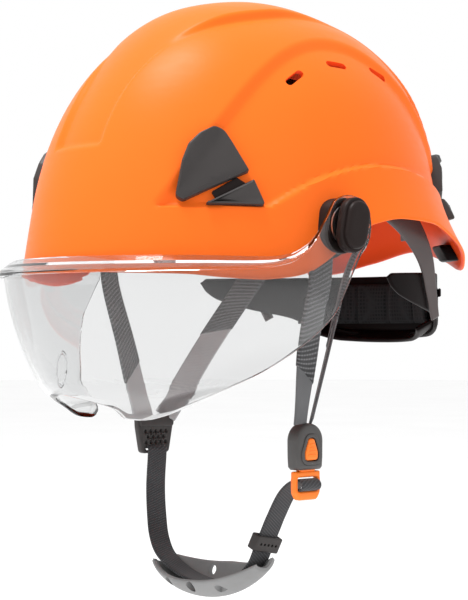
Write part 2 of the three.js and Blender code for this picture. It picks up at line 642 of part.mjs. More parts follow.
// The chin cup is a boat of soft rubber, open upwards to take the chin.
const CUP_TURN = radians(84);
function chinCup() {
  let body = sheet(16, 8, (u, v, w) => {
    const x = mix(-CUP.halfLength, CUP.halfLength, u);
    const end = (x / CUP.halfLength) ** 2;
    const floor = CUP.floorZ + 17 * end + 3 * (x / CUP.halfLength);
    const half = CUP.halfWidth * (1 - 0.55 * end ** 1.3);
    const turn = mix(-1, 1, v) * CUP_TURN;
    const wall = (v < 0.5 ? 11 : 19) * mix(1, 0.35, end ** 0.8);
    const y = -2 + (half - w * CUP.wall) * Math.sin(turn);
    const rise = (wall * (1 - Math.cos(turn))) / (1 - Math.cos(CUP_TURN));
    return vec(x, y, floor + w * CUP.wall * Math.cos(turn) ** 0.5 + rise);
  });
  for (const x of [-22, 0, 22]) {
    body = body.subtract(rod('y', 3.2, 30, vec(x, -2 - CUP.halfWidth, CUP.floorZ + 7.4), 10));
  }
  for (const x of [-14, 14]) {
    body = body.subtract(rod('y', 3.2, 20, vec(x, -2 + CUP.halfWidth, CUP.floorZ + 13), 10));
  }
  return body.subtract(chinWebbing(2));
}
add('chin_cup', chinCup(), RUBBER);

export default helmet;
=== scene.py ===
"""Looks of the arborist helmet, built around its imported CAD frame.
"""
import math

import bmesh
import bpy
import numpy as np
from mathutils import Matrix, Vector, geometry
from mathutils.bvhtree import BVHTree


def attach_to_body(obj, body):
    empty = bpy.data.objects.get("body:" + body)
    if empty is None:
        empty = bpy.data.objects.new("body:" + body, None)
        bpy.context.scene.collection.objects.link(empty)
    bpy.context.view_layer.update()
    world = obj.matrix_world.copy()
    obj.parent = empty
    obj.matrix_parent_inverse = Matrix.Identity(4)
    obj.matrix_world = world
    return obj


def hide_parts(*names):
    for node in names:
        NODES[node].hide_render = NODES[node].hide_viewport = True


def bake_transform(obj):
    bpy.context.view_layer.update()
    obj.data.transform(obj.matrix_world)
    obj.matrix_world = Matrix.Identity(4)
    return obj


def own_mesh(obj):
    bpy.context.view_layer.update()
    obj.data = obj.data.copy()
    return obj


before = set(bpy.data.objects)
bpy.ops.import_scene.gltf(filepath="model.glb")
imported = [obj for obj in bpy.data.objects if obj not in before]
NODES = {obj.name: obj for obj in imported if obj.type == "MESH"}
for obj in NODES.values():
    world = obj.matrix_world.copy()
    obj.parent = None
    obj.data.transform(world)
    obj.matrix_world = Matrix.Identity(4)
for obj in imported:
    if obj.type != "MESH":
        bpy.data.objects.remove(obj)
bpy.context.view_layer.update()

MM = 0.001
SIDES = (("left", 1), ("right", -1))
FULL_TURN = 2 * math.pi
SHARP_ANGLE = math.radians(38)
ROOT, VISOR, NAPE, RATCHET, CHIN = "shell_frame", "visor", "nape", "ratchet", "chin"

# ---- driving dimensions, as in the CAD ----
# the shell's dome, the outline of the harness round the head, and the lens
HALF_LENGTH, HALF_WIDTH, CENTRE_Y, CROWN_SHIFT = 134, 109, 19.5, 9
BASE_Z, HEIGHT, ROUND, WALL = -30, 164.5, 2.4, 3.0
LOOP_LENGTH, LOOP_WIDTH, LOOP_Y = 122, 84, 28
FRONT_POWER, NAPE_POWER = 2.0, 2.4
LENS_WALL, KNOB_X, KNOB_THICK = 2.2, 118, 7.5
PIVOT_Y, PIVOT_Z = -4, 1
TOP_A, LOW_A, SIDE_B, NOSE_B, DEPTH = 121, 105, 119, 28, 85
NAPE_Z = -40
BACK_Y = LOOP_Y + LOOP_LENGTH
WEB, WEB_THICK = 15, 1.6


# ---- small maths ----
def smooth(x, low, high):
    """A soft step from 0 at low to 1 at high."""
    t = np.clip((np.asarray(x, float) - low) / (high - low), 0, 1)
    return t * t * (3 - 2 * t)


def mix(a, b, t):
    return a + (b - a) * t


def through(pairs, x):
    """A smooth monotone curve through [position, value] pairs."""
    xs, ys = np.array(pairs, float).T
    slope = np.diff(ys) / np.diff(xs)
    before, after = slope[:-1], slope[1:]
    inner = np.where(before * after > 0, 2 * before * after / (before + after + 1e-12), 0)
    m = np.concatenate([[0], inner, [0]])
    x = np.clip(x, xs[0], xs[-1])
    i = np.clip(np.searchsorted(xs, x) - 1, 0, len(xs) - 2)
    h = xs[i + 1] - xs[i]
    t = (x - xs[i]) / h
    a = (1 + 2 * t) * (1 - t) ** 2 * ys[i] + t * (1 - t) ** 2 * h * m[i]
    return a + t * t * (3 - 2 * t) * ys[i + 1] + t * t * (t - 1) * h * m[i + 1]


def unit(v):
    return v / np.maximum(np.linalg.norm(v, axis=-1, keepdims=True), 1e-9)


def stack(x, y, z):
    """Points from x, y and z of matching shapes."""
    return np.stack(np.broadcast_arrays(np.asarray(x, float), y, z), axis=-1)


def even(count, length, edge):
    """Positions from 0 to 1, closer together near both ends so that a rounded edge shows."""
    near = np.array([0, 0.06, 0.25, 0.55, 1.0]) * edge / length
    middle = np.linspace(edge / length, 1 - edge / length, count)[1:-1]
    return np.concatenate([near, middle, 1 - near[::-1]])


def travelled(points):
    """The length of a line up to each of its points."""
    return np.concatenate([[0], np.cumsum(np.linalg.norm(np.diff(points, axis=0), axis=1))])


def sample(where, places, points):
    return np.stack([np.interp(where, places, points[:, k]) for k in range(3)], axis=-1)


def full_turn(steps):
    return np.linspace(0, FULL_TURN, steps, endpoint=False)


def raised(table, up):
    return [[where, z + up] for where, z in table]


# ---- mesh making ----
def add(name, data):
    made = bpy.data.objects.new(name, data)
    bpy.context.scene.collection.objects.link(made)
    return made


def make(name, points, faces, material, uv=None):
    """A piece from points in millimetres, smooth except at sharp edges."""
    mesh = bpy.data.meshes.new(name)
    mesh.from_pydata((np.asarray(points, float).reshape(-1, 3) * MM).tolist(), [], faces)
    piece = add(name, mesh)
    if uv is not None:
        layer = mesh.uv_layers.new(name="UVMap")
        corner = np.zeros(len(mesh.loops), np.int32)
        mesh.loops.foreach_get("vertex_index", corner)
        layer.data.foreach_set("uv", np.asarray(uv, np.float32)[corner].ravel())
    bm = bmesh.new()
    bm.from_mesh(mesh)
    bmesh.ops.remove_doubles(bm, verts=bm.verts, dist=1e-6)
    bmesh.ops.dissolve_degenerate(bm, edges=bm.edges, dist=1e-7)
    bmesh.ops.recalc_face_normals(bm, faces=bm.faces)
    bm.to_mesh(mesh)
    bm.free()
    mesh.materials.append(material)
    mesh.shade_smooth()
    mesh.set_sharp_from_angle(angle=SHARP_ANGLE)
    return piece


def quads(rows, cols, first=0, ring=True):
    """Faces between rows of points; in a ring, each row closes on itself."""
    faces = []
    for r in range(rows - 1):
        for c in range(cols if ring else cols - 1):
            a, b = first + r * cols + c, first + r * cols + (c + 1) % cols
            faces.append((a, b, b + cols, a + cols))
    return faces


def tube(name, rings, material):
    """A solid through closed rings of points, with flat ends."""
    steps, sides = rings.shape[:2]
    ends = [tuple(first + i for i in range(sides)) for first in (0, (steps - 1) * sides)]
    return make(name, rings, quads(steps, sides) + ends, material)


def attach(piece, *details):
    for detail in details:
        detail.parent = piece


def surface_normals(grid, wrap):
    """The normals of a grid of points; with wrap, its rows close on themselves."""
    padded = np.concatenate([grid[:, -1:], grid, grid[:, :1]], axis=1) if wrap else grid
    along = np.gradient(padded, axis=1)
    along = along[:, 1:-1] if wrap else along
    return unit(np.cross(along, np.gradient(grid, axis=0)))


def edge_distance(grid, axis, one_end=False):
    """Distance along the surface from the nearer end of each line of points, or from its start."""
    step = np.linalg.norm(np.diff(grid, axis=axis), axis=-1)
    zero = np.zeros_like(np.take(step, [0], axis=axis))
    from_start = np.concatenate([zero, np.cumsum(step, axis=axis)], axis=axis)
    to_end = np.take(from_start, [-1], axis=axis) - from_start
    return from_start if one_end else np.minimum(from_start, to_end)


def sheet(name, grid, thick, material, wrap=False, round_to=None, uv=False, normals=None, pole=False):
    """A closed sheet around a middle surface, its free edges rounded; a pole is a last row in one point."""
    rows, cols = grid.shape[:2]
    normal = surface_normals(grid, wrap) if normals is None else normals
    radius = round_to or thick / 2
    away = edge_distance(grid, 0, pole)
    if not wrap:
        away = np.minimum(away, edge_distance(grid, 1))
    swell = np.sqrt(np.clip(1 - (1 - np.clip(away / radius, 0, 1)) ** 2, 0, 1))
    half = (np.asarray(thick) / 2 * swell)[..., None]
    points = np.concatenate([(grid + normal * half).reshape(-1, 3), (grid - normal * half).reshape(-1, 3)])
    upper = quads(rows, cols, ring=wrap)
    faces = upper + [tuple(rows * cols + i for i in reversed(face)) for face in upper]
    lengths = None
    if uv:
        plan = np.meshgrid(travelled(grid[rows // 2]), travelled(grid[:, cols // 2]))
        lengths = np.tile(np.stack(plan, axis=-1).reshape(-1, 2) * MM, (2, 1))
    return make(name, points, faces, material, lengths)


def smooth_path(points, count):
    """Evenly spaced points on a smooth curve through the given ones."""
    p = np.array(points, float)
    p = np.vstack([2 * p[0] - p[1], p, 2 * p[-1] - p[-2]])
    fine = []
    for i in range(1, len(p) - 2):
        t = np.linspace(0, 1, 40, endpoint=False)[:, None]
        a, b, c, d = p[i - 1:i + 3]
        square, cube = 2 * a - 5 * b + 4 * c - d, 3 * b - a - 3 * c + d
        fine.append(0.5 * (2 * b + (c - a) * t + square * t ** 2 + cube * t ** 3))
    fine = np.vstack(fine + [p[-2:-1]])
    travel = travelled(fine)
    return sample(np.linspace(0, travel[-1], count), travel, fine)


def strap(name, points, side, width, thick, material, end_side=None, span=(0, 1), slant=0.0, count=70):
    """A flat strap along a smooth path, or along a span of it.

    side is the direction of its width, end_side the same at the far end, and slant cuts that end on the skew.
    """
    samples = 400
    fine = smooth_path(points, samples)
    t = np.linspace(0, 1, samples)
    tangent = unit(np.gradient(fine, axis=0))
    side = mix(np.array(side, float), np.array(end_side or side, float), t[:, None])
    face = unit(np.cross(tangent, side))
    across = unit(np.cross(face, tangent))
    total = travelled(fine)[-1] * (span[1] - span[0])
    along = even(count, total, thick)[:, None]
    spread = (even(9, 15, thick) - 0.5)[None]
    where = np.clip(span[0] + (span[1] - span[0]) * along + slant * spread * along ** 4, 0, 1)
    wide = width(where) if callable(width) else width
    grid = sample(where, t, fine) + sample(where, t, across) * (spread * wide)[..., None]
    return sheet(name, grid, thick, material, uv=True)


def rounded(points, radius, steps=5):
    """A closed outline with its corners rounded."""
    p = np.array(points, float)
    out = []
    for i, corner in enumerate(p):
        to_last, to_next = p[i - 1] - corner, p[(i + 1) % len(p)] - corner
        before, after = unit(to_last), unit(to_next)
        reach = radius if np.isscalar(radius) else radius[i]
        half = math.acos(float(np.clip(before @ after, -1, 1))) / 2
        shorter = min(np.linalg.norm(to_last), np.linalg.norm(to_next))
        trim = min(reach / math.tan(half), 0.45 * shorter)
        a, b = corner + before * trim, corner + after * trim
        for t in np.linspace(0, 1, steps):
            out.append((1 - t) ** 2 * a + 2 * t * (1 - t) * corner + t * t * b)
    return np.array(out)


def rectangle(low, high, radius):
    (x0, y0), (x1, y1) = low, high
    return rounded([(x0, y0), (x1, y0), (x1, y1), (x0, y1)], radius)


def stadium(length, width, steps=10):
    """An outline with round ends."""
    r = width / 2
    a = np.linspace(-math.pi / 2, math.pi / 2, steps)
    right = np.stack([length / 2 - r + r * np.cos(a), r * np.sin(a)], axis=-1)
    return np.vstack([right, -right])


def circle(radius, steps, centre=(0, 0)):
    a = full_turn(steps)
    return np.stack([centre[0] + radius * np.cos(a), centre[1] + radius * np.sin(a)], axis=-1)


def inset(loop, distance):
    """The outline moved inwards, or outwards for a negative distance."""
    ahead = unit(np.roll(loop, -1, axis=0) - loop)
    behind = unit(loop - np.roll(loop, 1, axis=0))
    left = np.stack([-(ahead + behind)[:, 1], (ahead + behind)[:, 0]], axis=-1)
    area = np.sum(loop[:, 0] * np.roll(loop[:, 1], -1) - loop[:, 1] * np.roll(loop[:, 0], -1))
    miter = 2 / np.maximum(np.linalg.norm(ahead + behind, axis=1, keepdims=True), 1.0)
    return loop + unit(left) * miter * distance * (1 if area > 0 else -1)


def inside(loop, points):
    """Which of the points lie inside the outline."""
    x, y = np.asarray(points, float).T[:, :, None]
    a, b = loop, np.roll(loop, -1, axis=0)
    crosses = (a[:, 1] > y) != (b[:, 1] > y)
    at = a[:, 0] + (y - a[:, 1]) / np.where(b[:, 1] == a[:, 1], 1e-9, b[:, 1] - a[:, 1]) * (b[:, 0] - a[:, 0])
    return (np.sum(crosses & (x < at), axis=1) % 2).astype(bool)


def cap(loops, spacing):
    """Triangles that fill the first loop and leave the others open, with even points inside."""
    outer = loops[0]
    low, high = outer.min(axis=0), outer.max(axis=0)
    xs, ys = (np.arange(low[k] + spacing / 2, high[k], spacing) for k in (0, 1))
    seeds = np.stack(np.meshgrid(xs, ys), axis=-1).reshape(-1, 2)
    keep = inside(inset(outer, spacing * 0.4), seeds) if len(seeds) else np.zeros(0, bool)
    for hole in loops[1:]:
        keep &= ~inside(inset(hole, -spacing * 0.4), seeds)
    points = np.vstack(loops + [seeds[keep]])
    edges = []
    for loop in loops:
        start = len(edges)
        edges += [(start + i, start + (i + 1) % len(loop)) for i in range(len(loop))]
    done = geometry.delaunay_2d_cdt([Vector(p) for p in points], edges, [], 1, 1e-6)
    where = np.array([tuple(v) for v in done[0]])
    faces = []
    for face in done[2]:
        centre = where[list(face)].mean(axis=0)[None]
        if not any(inside(hole, centre)[0] for hole in loops[1:]):
            faces.append(face)
    return where, faces


def slab(name, outline, height, bevel, place, material, holes=(), spacing=6, base=0.0, low_bevel=0.0):
    """A plate with a rounded upper edge and holes; a low_bevel rounds its lower edge too.

    place takes (s, t, h) arrays to points in space.
    """
    turns = np.linspace(0, math.pi / 2, 4)
    rings = [(low_bevel * (1 - math.sin(a)), base + low_bevel * (1 - math.cos(a))) for a in turns]
    rings = rings if low_bevel else [(0.0, base)]
    rings += [(bevel * (1 - math.cos(a)), base + height - bevel * (1 - math.sin(a))) for a in turns]
    points, faces = [], []
    for loop, sign in [(outline, 1)] + [(h, -1) for h in holes]:
        first = len(points)
        for away, h in rings:
            points += [(p[0], p[1], h) for p in inset(loop, away * sign)]
        faces += quads(len(rings), len(loop), first)
    for away, h in (rings[0], rings[-1]):
        where, triangles = cap([inset(outline, away)] + [inset(hole, -away) for hole in holes], spacing)
        first = len(points)
        points += [(p[0], p[1], h) for p in where]
        faces += [tuple(first + i for i in f) for f in triangles]
    s, t, h = np.array(points).T
    return make(name, place(s, t, h), faces, material)


def revolve(name, profile, centre, axis, material, steps=64, shape=None):
    """A solid of revolution; profile is [along the axis, radius], and shape may vary the radius."""
    along, radius = np.array(profile, float).T
    turn = full_turn(steps)
    r = radius[:, None] * np.ones(steps)[None]
    if shape is not None:
        r = shape(along[:, None], r, turn[None])
    axis = unit(np.array(axis, float))
    right = unit(np.cross(axis, [0.3, 0.2, 1.0]))
    up = np.cross(axis, right)
    grid = np.array(centre, float) + along[:, None, None] * axis
    grid = grid + r[..., None] * (np.cos(turn)[:, None] * right + np.sin(turn)[:, None] * up)
    return make(name, grid, quads(len(along), steps), material)


def bore(radius, depth):
    """The profile of a round cutter that reaches a depth to both sides."""
    return [[-depth, 0], [-depth, radius], [depth, radius], [depth, 0]]


def cut(piece, *tools):
    """Takes the tools out of the piece, and deletes them."""
    for tool in tools:
        modifier = piece.modifiers.new("cut", "BOOLEAN")
        modifier.operation = "DIFFERENCE"
        modifier.solver = "EXACT"
        modifier.object = tool
    depsgraph = bpy.context.evaluated_depsgraph_get()
    done = bpy.data.meshes.new_from_object(piece.evaluated_get(depsgraph))
    piece.modifiers.clear()
    piece.data = done
    for tool in tools:
        bpy.data.objects.remove(tool)
    done.set_sharp_from_angle(angle=SHARP_ANGLE)


def flat_place(origin, right, up, out):
    """Places (s, t, h) on a plane."""
    basis = np.array([right, up, out], float)
    return lambda s, t, h: np.array(origin, float) + stack(s, t, h) @ basis


def stand_for(piece):
    """The piece replaces the CAD node that it is named after."""
    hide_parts(piece.name.removesuffix("_visual"))


def mount(piece, body):
    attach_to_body(piece, body)
    stand_for(piece)


# ---- camera, light and floor ----
EYE_AZIMUTH, EYE_DISTANCE, EYE_Z, LENS = math.radians(50), 1.0, -0.056, 102
AIM_RIGHT, AIM_UP = 0.0118, 0.0188
FLOOR_Z, FLOOR_RADIUS = -0.42, 12


def add_facing(name, data, place, aim):
    made = add(name, data)
    made.location = place
    made.rotation_euler = (aim - place).to_track_quat("-Z", "Y").to_euler()
    return made


def camera():
    """Eye level a little below the brim, 50 degrees round from the front to the wearer's left."""
    right = Vector((math.cos(EYE_AZIMUTH), math.sin(EYE_AZIMUTH), 0))
    away = Vector((-math.sin(EYE_AZIMUTH), math.cos(EYE_AZIMUTH), 0))
    place = -away * EYE_DISTANCE + Vector((0, 0, EYE_Z))
    aim = right * AIM_RIGHT + Vector((0, 0, EYE_Z + AIM_UP))
    data = bpy.data.cameras.new("camera")
    data.lens = LENS
    data.sensor_width = 36
    data.clip_end = 60
    bpy.context.scene.camera = add_facing("camera", data, place, aim)


def softbox(name, place, size, power):
    """A rectangular light that faces the origin."""
    data = bpy.data.lights.new(name, "AREA")
    data.shape = "RECTANGLE"
    data.size, data.size_y = size
    data.energy = power
    add_facing(name, data, Vector(place), Vector())


def studio():
    """A white room: a soft key light above the front, a weak side light, and a pale floor well below."""
    world = bpy.data.worlds.new("studio")
    bpy.context.scene.world = world
    world.use_nodes = True
    background = world.node_tree.nodes["Background"]
    background.inputs["Color"].default_value = (1, 1, 1, 1)
    background.inputs["Strength"].default_value = 1.0
    bpy.context.scene.view_settings.view_transform = "Standard"
    softbox("key", (-0.3, -0.62, 2.1), (0.8, 0.8), 54)
    softbox("side", (1.9, 0.3, 0.9), (0.5, 1.4), 2)
    mesh = bpy.data.meshes.new("floor")
    ring = circle(FLOOR_RADIUS, 48)
    mesh.from_pydata([(x, y, FLOOR_Z) for x, y in ring], [], [tuple(range(len(ring)))])
    mesh.materials.append(floor_material())
    add("floor", mesh)


# ---- materials ----
class Look:
    """A material under construction: short names for its nodes."""

    def __init__(self, name, roughness, **sockets):
        self.material = bpy.data.materials.new(name)
        self.material.use_nodes = True
        self.nodes = self.material.node_tree.nodes
        self.link = self.material.node_tree.links.new
        self.shader = self.nodes["Principled BSDF"]
        self.shader.inputs["Roughness"].default_value = roughness
        for socket, value in sockets.items():
            self.shader.inputs[socket.replace("_", " ")].default_value = value

    def node(self, kind, inputs=(), **settings):
        made = self.nodes.new("ShaderNode" + kind)
        for key, value in settings.items():
            setattr(made, key, value)
        for key, value in dict(inputs).items():
            if isinstance(value, bpy.types.NodeSocket):
                self.link(value, made.inputs[key])
            else:
                made.inputs[key].default_value = value
        return made

    def place(self, uv=False):
        return self.node("TexCoord").outputs["UV" if uv else "Object"]

    def noise(self, scale, detail=3, stretch=None):
        vector = self.place()
        if stretch:
            vector = self.node("Mapping", {"Vector": vector, "Scale": stretch}).outputs["Vector"]
        return self.node("TexNoise", {"Vector": vector, "Scale": scale, "Detail": detail}).outputs["Fac"]

    def spread(self, value, low, high):
        return self.node("MapRange", {"Value": value, "To Min": low, "To Max": high}).outputs["Result"]

    def math(self, operation, a, b=0.0):
        return self.node("Math", {0: a, 1: b}, operation=operation).outputs[0]

    def color(self, value, *stops):
        """The base colour goes from one stop to the other as a value rises."""
        ramp = self.node("ValToRGB", {"Fac": value})
        for element, (place, color) in zip(ramp.color_ramp.elements, stops):
            element.position = place
            element.color = (*color, 1)
        self.link(ramp.outputs["Color"], self.shader.inputs["Base Color"])

    def roughness(self, value, low, high):
        self.link(self.spread(value, low, high), self.shader.inputs["Roughness"])

    def bump(self, height, strength, distance):
        bump = self.node("Bump", {"Height": height, "Strength": strength, "Distance": distance})
        self.link(bump.outputs["Normal"], self.shader.inputs["Normal"])
        return self.material


def floor_material():
    look = Look("floor", 0.9)
    look.color(look.noise(3), (0.3, (0.95, 0.95, 0.95)), (0.7, (0.97, 0.97, 0.97)))
    return look.material


def moulded(name, low, high, roughness, grain=900, specular=0.5):
    """Injection-moulded plastic: slow colour drift, a fine spark-eroded grain and uneven gloss."""
    look = Look(name, roughness, Specular_IOR_Level=specular)
    look.color(look.noise(14, 4), (0.3, low), (0.7, high))
    look.roughness(look.noise(55, 5), roughness - 0.06, roughness + 0.07)
    return look.bump(look.noise(grain, 2), 0.35, 0.00006)


def shell_material(name, low, high):
    """Satin ABS: saturated orange, faint orange peel, and scuffs that change only the gloss."""
    look = Look(name, 0.38, Specular_IOR_Level=0.07)
    look.color(look.noise(6, 3), (0.25, low), (0.75, high))
    look.roughness(look.noise(60, 6, stretch=(1, 1, 5)), 0.31, 0.43)
    return look.bump(look.noise(260, 2), 0.12, 0.0004)


def clear_material():
    """Clear polycarbonate with a very slight grey, and wipe marks that dull it in places."""
    look = Look("visor_polycarbonate", 0.02, Transmission_Weight=1.0, IOR=1.49)
    look.color(look.noise(9, 2), (0.3, (0.775, 0.78, 0.782)), (0.7, (0.79, 0.795, 0.797)))
    look.roughness(look.noise(120, 4), 0.0, 0.03)
    return look.material


def steel_material():
    look = Look("zinc_steel", 0.3, Metallic=1.0)
    look.color(look.noise(180, 4), (0.3, (0.52, 0.52, 0.54)), (0.7, (0.66, 0.66, 0.67)))
    look.roughness(look.noise(400, 3, stretch=(1, 1, 8)), 0.22, 0.42)
    return look.bump(look.noise(900, 2), 0.2, 0.00003)


def woven(name, dark, light, ribs=0.0011, strength=0.5):
    """Webbing: slanted ribs across the strap, broken into short floats, and fuzz."""
    look = Look(name, 0.88, Sheen_Weight=0.15, Sheen_Roughness=0.5, Specular_IOR_Level=0.25)
    split = look.node("SeparateXYZ", {"Vector": look.place(uv=True)})
    across, along = split.outputs["X"], split.outputs["Y"]
    turn = FULL_TURN / ribs
    skew = look.math("ADD", along, look.math("MULTIPLY", across, 0.5))
    rib = look.math("SINE", look.math("MULTIPLY", skew, turn))
    warp = look.math("SINE", look.math("MULTIPLY", across, turn * 1.3))
    weave = look.math("ADD", rib, look.math("MULTIPLY", look.math("MULTIPLY", rib, warp), 0.7))
    height = look.math("ADD", look.spread(weave, 0.2, 0.8), look.math("MULTIPLY", look.noise(1500, 3), 0.2))
    shade = look.math("ADD", look.math("MULTIPLY", height, 0.6), look.math("MULTIPLY", look.noise(40), 0.4))
    look.color(shade, (0.3, dark), (0.75, light))
    return look.bump(height, strength, 0.00025)


def knitted(name, dark, light):
    """Spacer-mesh cover: small cells in slightly uneven rows."""
    look = Look(name, 0.95, Sheen_Weight=0.04, Specular_IOR_Level=0.15)
    cells = look.node("TexVoronoi", {"Vector": look.place(), "Scale": 420.0, "Randomness": 0.15},
                      feature="DISTANCE_TO_EDGE").outputs["Distance"]
    look.color(cells, (0.05, light), (0.4, dark))
    return look.bump(cells, 0.3, 0.0003)


def rubber(name, dark, light):
    look = Look(name, 0.6, Specular_IOR_Level=0.35)
    look.color(look.noise(30, 5), (0.3, dark), (0.7, light))
    look.roughness(look.noise(90, 4), 0.5, 0.7)
    return look.bump(look.noise(1100, 3), 0.4, 0.00008)


ORANGE = shell_material("shell_abs", (0.95, 0.148, 0.012), (0.98, 0.166, 0.02))
# a darker copy of the same orange for the shell's inner faces: painted shade inside the dome
ORANGE_PAINTED_SHADE = shell_material("shell_abs_painted_shade", (0.78, 0.062, 0.01), (0.84, 0.075, 0.014))
CLEAR = clear_material()
BLACK = moulded("clip_nylon", (0.034, 0.03, 0.029), (0.048, 0.043, 0.042), 0.42, specular=0.2)
# the knob's own near-black, also used on the lamp clips' recessed necks as painted shade
KNOB_BLACK_AND_NECK_SHADE = moulded("knob_nylon", (0.01, 0.006, 0.0055), (0.017, 0.011, 0.01), 0.42, specular=0.12)
HARNESS = moulded("harness_nylon", (0.004, 0.002, 0.002), (0.008, 0.004, 0.004), 0.42, 600, specular=0.05)
ARM = moulded("arm_nylon", (0.045, 0.03, 0.029), (0.065, 0.045, 0.043), 0.3, 500)
ACETAL = moulded("buckle_acetal", (0.95, 0.19, 0.012), (1.0, 0.22, 0.02), 0.4, specular=0.35)
HOUSING = moulded("housing_acetal", (0.045, 0.042, 0.041), (0.062, 0.058, 0.056), 0.45)
STEEL = steel_material()
WEBBING = woven("webbing_grey", (0.075, 0.075, 0.078), (0.15, 0.15, 0.155))
PALE_WEB = woven("webbing_pale", (0.34, 0.34, 0.345), (0.5, 0.5, 0.505))
SLEEVE = woven("webbing_sleeve", (0.014, 0.014, 0.015), (0.15, 0.15, 0.155), ribs=0.0026, strength=1.0)
DARK_WEB = woven("webbing_dark", (0.028, 0.028, 0.03), (0.075, 0.075, 0.08), ribs=0.0016)
FOAM = knitted("spacer_mesh", (0.004, 0.004, 0.0045), (0.016, 0.016, 0.017))
CUP_RUBBER = rubber("cup_rubber", (0.19, 0.19, 0.19), (0.25, 0.25, 0.25))


# ---- the shell's surface ----
RIM = [[-90, -23], [-66, -24.5], [-48, -25.5], [-38, -27.5], [-30, -28.3], [-23, -27], [-19, -25],
       [-15, -20], [-11, -13], [-5, -3], [0, 3], [10, 7], [22, 6], [34, -1], [46, -9], [60, -18], [75, -11],
       [90, -4]]
FLARE = [[-90, 1.5], [-30, 3], [0, 5], [25, 8], [48, 13], [90, 18]]


def dome(phi, z):
    """The plain dome and its outward normal, at a direction in radians and a height."""
    z = np.asarray(z, float)
    h = np.clip((z - BASE_Z) / HEIGHT, 0, 0.99999)
    spread = (1 - h ** ROUND) ** (1 / ROUND)
    x = HALF_WIDTH * spread * np.cos(phi)
    y = HALF_LENGTH * spread * np.sin(phi)
    steep = (h / spread) ** (ROUND - 1) / HEIGHT
    normal = stack(x / (HALF_WIDTH ** 2 * spread), y / (HALF_LENGTH ** 2 * spread), steep)
    return stack(x, CENTRE_Y + CROWN_SHIFT * h + y, z), unit(normal)


def towards_back(phi):
    """A direction in degrees, mirrored to the left side: -90 is the front and 90 the back."""
    return np.degrees(np.arcsin(np.clip(np.sin(phi), -1, 1)))


def relief(p):
    """How far the moulded relief stands out of the dome: side panels, front channel and crown ridge."""
    x, y, z = np.abs(p[..., 0]), p[..., 1], p[..., 2]
    arch = 112 - 60 * ((y - 30) / 93) ** 2
    drop = np.where(y < 42, 26 * ((y - 42) / 83) ** 2, 9 * ((y - 42) / 66) ** 2)
    ledge = np.maximum(37 - drop, 11)
    panel = smooth(arch - z, 0, 6.5) * smooth(z - ledge, -1, 1.4) * smooth(x, 30, 42)
    half = mix(20, 46, smooth(y, -95, 5))
    level = mix(-2.5, 4.5, smooth(y, -80, -20)) - 4 * smooth(y, 0, 60) * smooth(z, 80, 125)
    centre = smooth(half - x, -2.2, 2.2) * smooth(z, 45, 48)
    return level * centre - 3.4 * panel


def shell_grid(across, rises):
    """Points on the shell: directions in radians, rises from 0 at the rim to 1 at the crown."""
    phi = across[None, :]
    degrees = towards_back(phi)
    rim = through(RIM, degrees)
    low = np.arcsin(((rim - BASE_Z) / HEIGHT) ** (ROUND / 2))
    climb = mix(low, math.pi / 2, rises[:, None])
    z = BASE_Z + HEIGHT * np.sin(climb) ** (2 / ROUND)
    p, normal = dome(phi, z)
    near = np.clip((rim + 36 - z) / 36, 0, 1)
    flare = through(FLARE, degrees) * near ** 1.7
    q = p + normal * relief(p)[..., None]
    return q + stack(flare * np.cos(phi), flare * np.sin(phi), 0), normal


VENTS = ((-19, 86, 38), (0, 97, -3), (24, 96, -26), (44, 80, -46))  # direction, height and tilt
HEAD_CENTRE = (0, 0.028, -0.01)  # in metres


def shell():
    rises = np.concatenate([[0, 0.001, 0.003, 0.006, 0.01], np.linspace(0.016, 1, 150)])
    outer, normal = shell_grid(full_turn(420), rises)
    middle = outer - normal * WALL / 2
    middle[-1] = middle[-1].mean(axis=0)
    normal[-1] = (0, 0, 1)
    piece = sheet("shell_visual", middle, WALL, ORANGE, wrap=True, normals=normal, pole=True)
    cut(piece, *[slab("vent", stadium(15, 4.6), 24, 0.2, flat_place(*on_shell(degrees, z, side, tilt * side)),
                      ORANGE, base=-14, spacing=30)
                 for _, side in SIDES for degrees, z, tilt in VENTS])
    # faces turned towards the head take the darker orange, as painted shade for the inside of the shell
    piece.data.materials.append(ORANGE_PAINTED_SHADE)
    painted_shade_index = len(piece.data.materials) - 1
    for polygon in piece.data.polygons:
        if polygon.normal.dot(polygon.center - Vector(HEAD_CENTRE)) < 0:
            polygon.material_index = painted_shade_index
    mount(piece, ROOT)


def on_shell(degrees, z, side, tilt=0.0):
    """The origin and axes of a plane that touches the dome."""
    p, normal = dome(np.radians(degrees), z)
    p, normal = p * [side, 1, 1], normal * [side, 1, 1]
    right = unit(np.cross([0, 0, 1], normal))
    up = np.cross(normal, right)
    a = math.radians(tilt)
    right, up = right * math.cos(a) + up * math.sin(a), up * math.cos(a) - right * math.sin(a)
    return p, right, up, normal


class Skin:
    """The shell's outer face, for laying plates on it."""

    def __init__(self):
        grid, _ = shell_grid(full_turn(220), np.linspace(0, 0.985, 90))
        self.tree = BVHTree.FromPolygons(grid.reshape(-1, 3).tolist(), quads(90, 220))

    def place(self, degrees, z, side):
        """A place function whose heights stand on the shell, and the axes of its plane."""
        axes = p, right, up, normal = on_shell(degrees, z, side)

        def put(s, t, h):
            flat = p + np.stack([s, t], axis=-1) @ np.array([right, up])
            out = []
            for q, lift in zip(flat, h):
                hit = self.tree.ray_cast(Vector(q + normal * 60), Vector(-normal))[0]
                out.append(np.array(hit or q) + normal * lift)
            return np.array(out)
        return put, axes


def on_plane(places, axes, side):
    """[direction, height] pairs on the dome as points of a plane."""
    p, right, up, _ = axes
    out = []
    for degrees, z in places:
        q, _ = dome(np.radians(degrees), z)
        q = q * [side, 1, 1] - p
        out.append((q @ right, q @ up))
    return np.array(out)


